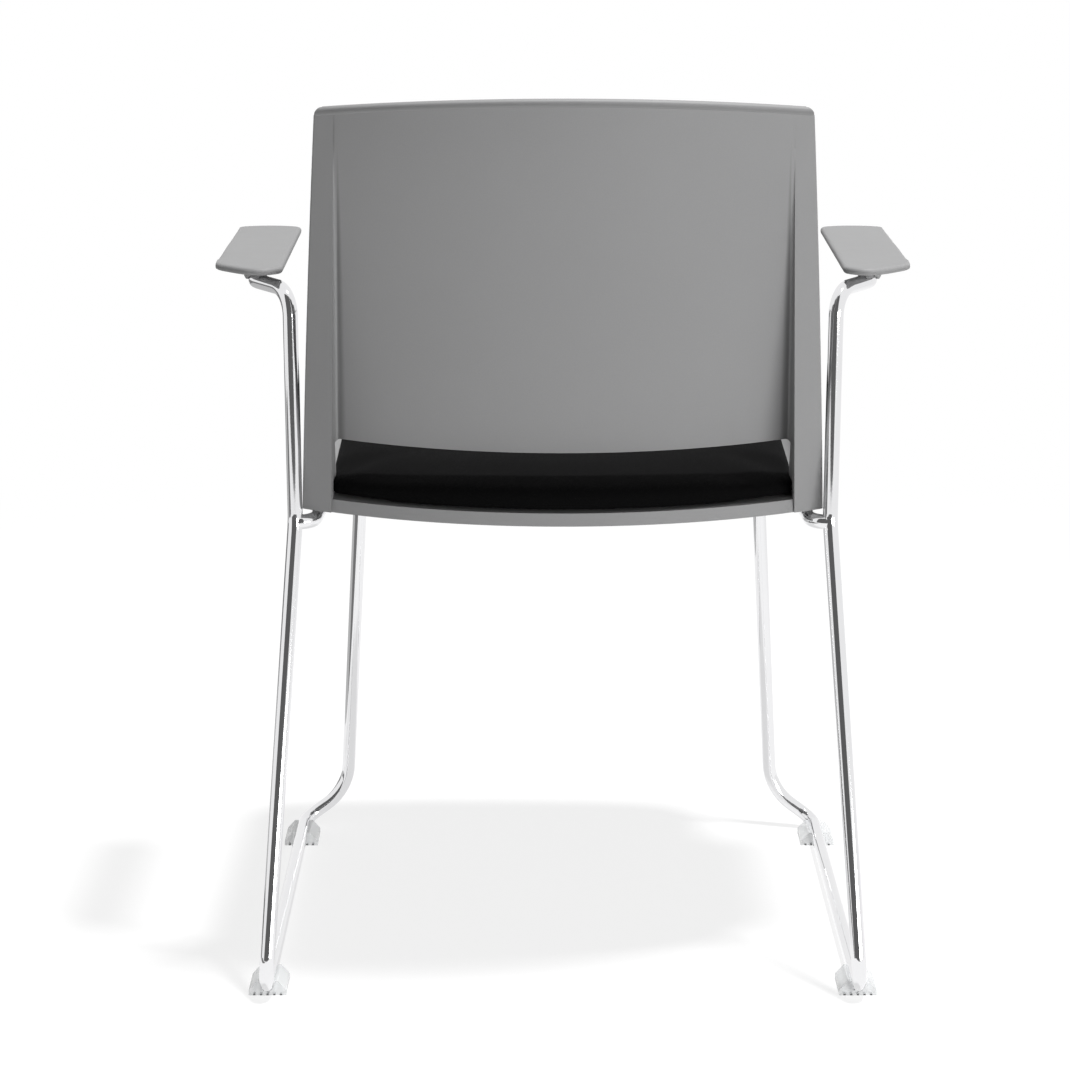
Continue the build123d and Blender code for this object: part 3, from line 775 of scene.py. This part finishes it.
class ARMCHAIR_OT_rods(bpy.types.Operator):
    """Finish the bent side rods, the cross bars and their plates"""

    bl_idname = "armchair.rods"
    bl_label = "Rods and bars"

    def execute(self, context):
        nodes = [f"{side}_side_rod" for side in sides]
        nodes += [f"{end}_cross_bar" for end in ends]
        nodes += [f"{side}_{end}_plate" for side in sides for end in ends]
        dress(nodes, shared(bright_plating))
        return {"FINISHED"}


class ARMCHAIR_OT_glides(bpy.types.Operator):
    """Finish the four clear glides"""

    bl_idname = "armchair.glides"
    bl_label = "Glides"

    def execute(self, context):
        dress([f"{side}_{end}_glide" for side in sides for end in ends], shared(clear_plastic))
        return {"FINISHED"}


class ARMCHAIR_OT_fasteners(bpy.types.Operator):
    """Finish the screws, washers, nuts and inserts"""

    bl_idname = "armchair.fasteners"
    bl_label = "Fasteners"

    def execute(self, context):
        plated = ["frame_screws", "seat_screws", "frame_washers", "seat_tee_nuts"]
        plated += [f"{side}_arm_screws" for side in sides]
        dress(plated, shared(zinc_plating))
        dress(["shell_inserts"], shared(turned_brass))
        return {"FINISHED"}


class ARMCHAIR_OT_stage(bpy.types.Operator):
    """Set up the pale floor, the lamps and the camera"""

    bl_idname = "armchair.stage"
    bl_label = "Studio"

    def execute(self, context):
        stage = context.scene.armchair_stage
        context.scene.view_settings.view_transform = "Standard"
        self.floor()
        self.room(context, stage)
        self.lamp("key_lamp", stage.key_place, stage.key_light, width=3.0, height=0.8)
        self.lamp("top_lamp", stage.top_place, stage.top_light, width=0.7, height=0.7)
        self.cards()
        self.camera(context, stage)
        return {"FINISHED"}

    @staticmethod
    def seen_directly(paint):
        """1 for what the camera sees, also in metal and through clear plastic, and 0 for light."""
        rays = ("Is Camera Ray", "Is Glossy Ray", "Is Transmission Ray")
        straight, mirrored, through = paint.several("ShaderNodeLightPath", rays)
        return straight.greater(mirrored).greater(through)

    @staticmethod
    def painted_groove_shadow(x, y):
        """1 on the short strips of floor in the grooves at the back of the glides, where a dark shadow is
        painted.
        """
        foot_edge = (0.0135, 0.014)
        rear_strips = ((0.249, 0.25), (0.2588, 0.2592))
        front_strips = ((-0.205, -0.204), (-0.1952, -0.1948))
        across = across_glide(x)
        groove = groove_wave(across).band(0.35, 0.5)
        under = 1 - abs(across).band(*foot_edge)
        return groove * under * (y.between(*rear_strips) + y.between(*front_strips))

    def floor(self):
        """A wide pale floor that stays white away from the chair's shadow."""
        floor_width = 40.0
        white_from = (0.9, 2.2)
        room_shade = 0.6
        lit_shade = 0.25
        shadow_glow = 0.81
        groove_shadow_glow = 0.12
        deselect_all()
        bpy.ops.mesh.primitive_plane_add(size=floor_width, location=(0, 0, 0))
        floor = bpy.context.object
        floor.name = "floor"
        paint = Paint(bpy.data.materials.new("pale_floor"))
        x, y, _ = paint.split(paint.place())
        lights = {0: paint.matt(lit_shade), 1: paint.glow(shadow_glow)}
        lifted = paint.node("ShaderNodeAddShader", None, lights)
        # Painted shadow on the floor inside the glides' grooves.
        shaded = paint.mix(self.painted_groove_shadow(x, y), lifted, paint.glow(groove_shadow_glow))
        away = ((x * x + y * y) ** 0.5).band(*white_from)
        seen = paint.mix(away, shaded, paint.glow(1.0))
        paint.output(paint.mix(self.seen_directly(paint), paint.matt(room_shade), seen))
        floor.data.materials.append(paint.owner)

    def room(self, context, stage):
        """Even light from all round, seen as white."""
        paint = Paint(bpy.data.worlds.new("studio_room"))
        dim, white = (
            paint.node("ShaderNodeBackground", None, {"Color": (1, 1, 1), "Strength": strength})
            for strength in (stage.world_light, 1.0)
        )
        paint.output(paint.mix(self.seen_directly(paint), dim, white), "ShaderNodeOutputWorld")
        context.scene.world = paint.owner

    @staticmethod
    def lamp(name, place, power, width, height):
        """A soft lamp that faces the middle of the chair."""
        chair_middle = Vector((0.0, 0.0, 0.45))
        light = bpy.data.lights.new(name, "AREA")
        light.energy = power
        light.shape = "RECTANGLE"
        light.size = width
        light.size_y = height
        lamp = bpy.data.objects.new(name, light)
        bpy.context.scene.collection.objects.link(lamp)
        lamp.location = place
        lamp.rotation_euler = (chair_middle - Vector(place)).to_track_quat("-Z", "Y").to_euler()

    @staticmethod
    def cards():
        """Dark cards of a studio, upright and flat on the floor, seen only in the bright rods."""
        upright, flat = math.pi / 2, 0.0
        for name, place, turn, width, height, shade in (
            ("camera_card", (0.8, 2.4, 2.5), upright, 3.6, 5.0, 0.125),
            ("rear_card", (3.4, -1.6, 0.3), upright, 4.4, 0.6, 0.22),
            ("near_floor_card", (1.9, 0.5, 0.003), flat, 2.6, 1.2, 0.2),
            ("far_floor_card", (1.9, -1.2, 0.003), flat, 2.6, 2.2, 0.55),
        ):
            paint = Paint(bpy.data.materials.new(name))
            paint.output(paint.glow(shade))
            deselect_all()
            bpy.ops.mesh.primitive_plane_add(size=1.0, rotation=(turn, 0, 0), location=place)
            card = bpy.context.object
            card.name = name
            card.scale = (width, height, 1.0)
            card.data.materials.append(paint.owner)
            card.visible_camera = False
            card.visible_diffuse = False
            card.visible_transmission = False
            card.visible_shadow = False

    @staticmethod
    def camera(context, stage):
        """A camera behind the chair, as the photograph was taken."""
        lens = bpy.data.cameras.new("camera")
        lens.sensor_width = 36.0
        lens.lens = stage.camera_lens
        camera = bpy.data.objects.new("camera", lens)
        context.scene.collection.objects.link(camera)
        camera.location = stage.camera_place
        camera.rotation_euler = (math.pi / 2 - stage.camera_pitch, 0.0, math.pi)
        context.scene.camera = camera


class ARMCHAIR_PT_panel(bpy.types.Panel):
    """Steps and values of the armchair"""

    bl_idname = "ARMCHAIR_PT_panel"
    bl_label = "Armchair"
    bl_space_type = "VIEW_3D"
    bl_region_type = "UI"
    bl_category = "Armchair"

    def draw(self, context):
        for step in steps:
            self.layout.operator(step.bl_idname)
        for name in groups:
            group = getattr(context.scene, name)
            for key in group.__annotations__:
                self.layout.prop(group, key)


groups = {
    "armchair_finishes": ArmchairFinishes,
    "armchair_sizes": ArmchairSizes,
    "armchair_stage": ArmchairStage,
}
steps = (
    ARMCHAIR_OT_shell,
    ARMCHAIR_OT_arm_pads,
    ARMCHAIR_OT_seat_pad,
    ARMCHAIR_OT_rods,
    ARMCHAIR_OT_glides,
    ARMCHAIR_OT_fasteners,
    ARMCHAIR_OT_stage,
)
kinds = (*groups.values(), *steps, ARMCHAIR_PT_panel)


def register():
    """Add the steps, the values and the panel."""
    for kind in kinds:
        bpy.utils.register_class(kind)
    for name, group in groups.items():
        setattr(bpy.types.Scene, name, PointerProperty(type=group))


def unregister():
    """Take them all out again."""
    for name in groups:
        delattr(bpy.types.Scene, name)
    for kind in reversed(kinds):
        bpy.utils.unregister_class(kind)


def main():
    """Build the chair's looks step by step."""
    register()
    bpy.ops.armchair.shell()
    bpy.ops.armchair.arm_pads()
    bpy.ops.armchair.seat_pad()
    bpy.ops.armchair.rods()
    bpy.ops.armchair.glides()
    bpy.ops.armchair.fasteners()
    bpy.ops.armchair.stage()


if __name__ == "__main__":
    main()
